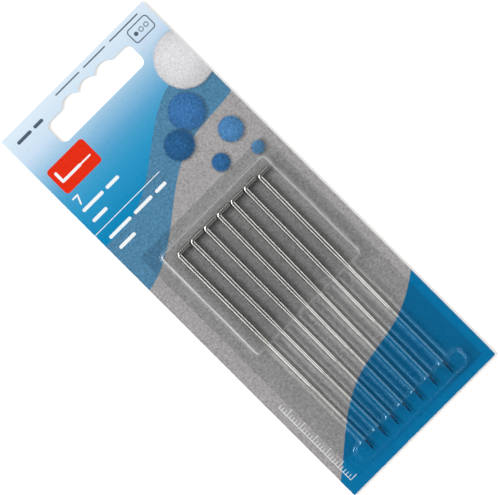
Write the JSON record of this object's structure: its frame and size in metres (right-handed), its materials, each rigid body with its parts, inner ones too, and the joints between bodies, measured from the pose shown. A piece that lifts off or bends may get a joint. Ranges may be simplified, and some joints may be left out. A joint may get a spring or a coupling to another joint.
{
  "type": "felting needle",
  "caption": "Cranked steel felting needles with barbed three-sided blades, lying side by side under a clear formed blister on a printed hang card.",
  "frame": {"origin": "middle of the card's back face, on the surface that the pack lies on", "axes": "+X to the right across the print, +Y along the card towards the hang slot, +Z out of the print"},
  "size_m": [0.055, 0.1376, 0.0033],
  "materials": {
    "printed_board": "satin printed board",
    "clear_plastic": "clear gloss sheet",
    "needle_steel": "drawn bright steel"
  },
  "bodies": {
    "card": {"backing_card": "printed_board"},
    "blister": {"blister": "clear_plastic"},
    "needle_1": {"needle_1": "needle_steel"},
    "needle_2": {"needle_2": "needle_steel"},
    "needle_3": {"needle_3": "needle_steel"},
    "needle_4": {"needle_4": "needle_steel"},
    "needle_5": {"needle_5": "needle_steel"},
    "needle_6": {"needle_6": "needle_steel"},
    "needle_7": {"needle_7": "needle_steel"}
  },
  "joints": [
    {"name": "blister_peel", "type": "hinge", "parent": "card", "child": "blister", "pos_m": [0.00095, 0.01915, 0.00075], "axis": [-1, 0, 0], "range_deg": [0, 120]},
    {"name": "needle_1_slide", "type": "slide", "parent": "card", "child": "needle_1", "axis": [-0.0024, 1, 0], "range_m": [-0.0008, 0.002]},
    {"name": "needle_2_slide", "type": "slide", "parent": "card", "child": "needle_2", "axis": [-0.0013, 1, 0], "range_m": [-0.0008, 0.002]},
    {"name": "needle_3_slide", "type": "slide", "parent": "card", "child": "needle_3", "axis": [0.0057, 1, 0], "range_m": [-0.00077, 0.00202]},
    {"name": "needle_4_slide", "type": "slide", "parent": "card", "child": "needle_4", "axis": [0.0115, 0.9999, 0], "range_m": [-0.0008, 0.002]},
    {"name": "needle_5_slide", "type": "slide", "parent": "card", "child": "needle_5", "axis": [0.0173, 0.9999, 0], "range_m": [-0.00075, 0.00205]},
    {"name": "needle_6_slide", "type": "slide", "parent": "card", "child": "needle_6", "axis": [0.012, 0.9999, 0], "range_m": [-0.00077, 0.00202]},
    {"name": "needle_7_slide", "type": "slide", "parent": "card", "child": "needle_7", "axis": [0.0063, 1, 0], "range_m": [-0.0003, 0.0025]}
  ]
}
